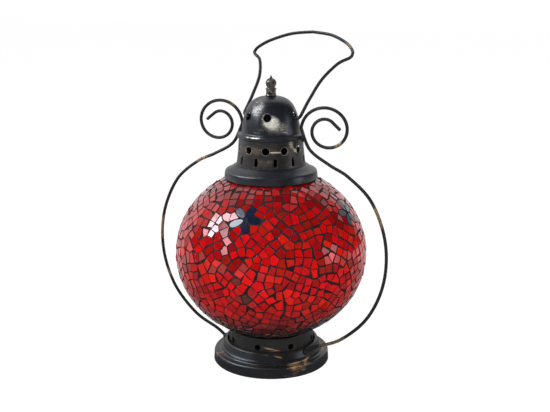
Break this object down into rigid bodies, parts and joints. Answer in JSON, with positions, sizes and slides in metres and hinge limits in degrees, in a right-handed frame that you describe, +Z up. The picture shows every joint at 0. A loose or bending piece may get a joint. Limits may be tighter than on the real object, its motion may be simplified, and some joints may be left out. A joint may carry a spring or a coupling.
{
  "type": "candle lantern",
  "caption": "Round mosaic glass candle lantern with a spun metal foot, pierced chimney and dome, bent side wires ending in scrolls, and a swinging wire bail.",
  "frame": {"origin": "centre of the foot's underside, on the lantern's axis", "axes": "+Z up along the axis; +X towards the right side wire, in the plane of both side wires and of the bail's pivot; the bail leans towards +Y"},
  "size_m": [0.2054, 0.154, 0.2627],
  "materials": {
    "black_metal": "blackened sheet metal, satin, rubbed to bronze on edges",
    "black_sheet": "blackened sheet metal, dull, inside",
    "black_wire": "blackened steel wire, rubbed in places",
    "worn_bronze": "blackened casting with worn bright edges",
    "steel_nut": "plain steel",
    "bright_tin": "bright pressed tin",
    "clear_glass": "clear blown glass",
    "red_mosaic_glass": "glossy red glass tiles with dark blue petal tiles, in dark grey grout"
  },
  "bodies": {
    "lantern_body": {"foot": "black_metal", "support_plate": "black_sheet", "gallery_ring": "black_metal", "glass_globe": "clear_glass", "mosaic_tiles": "red_mosaic_glass", "collar": "black_metal", "chimney": "black_metal", "dome": "black_metal", "finial": "worn_bronze", "finial_nut": "steel_nut", "frame_wire_right": "black_wire", "frame_wire_left": "black_wire"},
    "bail": {"bail_handle": "black_wire"},
    "tray": {"candle_tray": "black_sheet", "candle_cup": "bright_tin", "cup_rivet": "steel_nut"}
  },
  "joints": [
    {"name": "bail_swing", "type": "hinge", "parent": "lantern_body", "child": "bail", "pos_m": [0, 0, 0.20068], "axis": [1, 0, 0], "range_deg": [-84.6, 185.4]},
    {"name": "tray_slide", "type": "slide", "parent": "lantern_body", "child": "tray", "axis": [0, 0, -1], "range_m": [0, 0.045]}
  ]
}
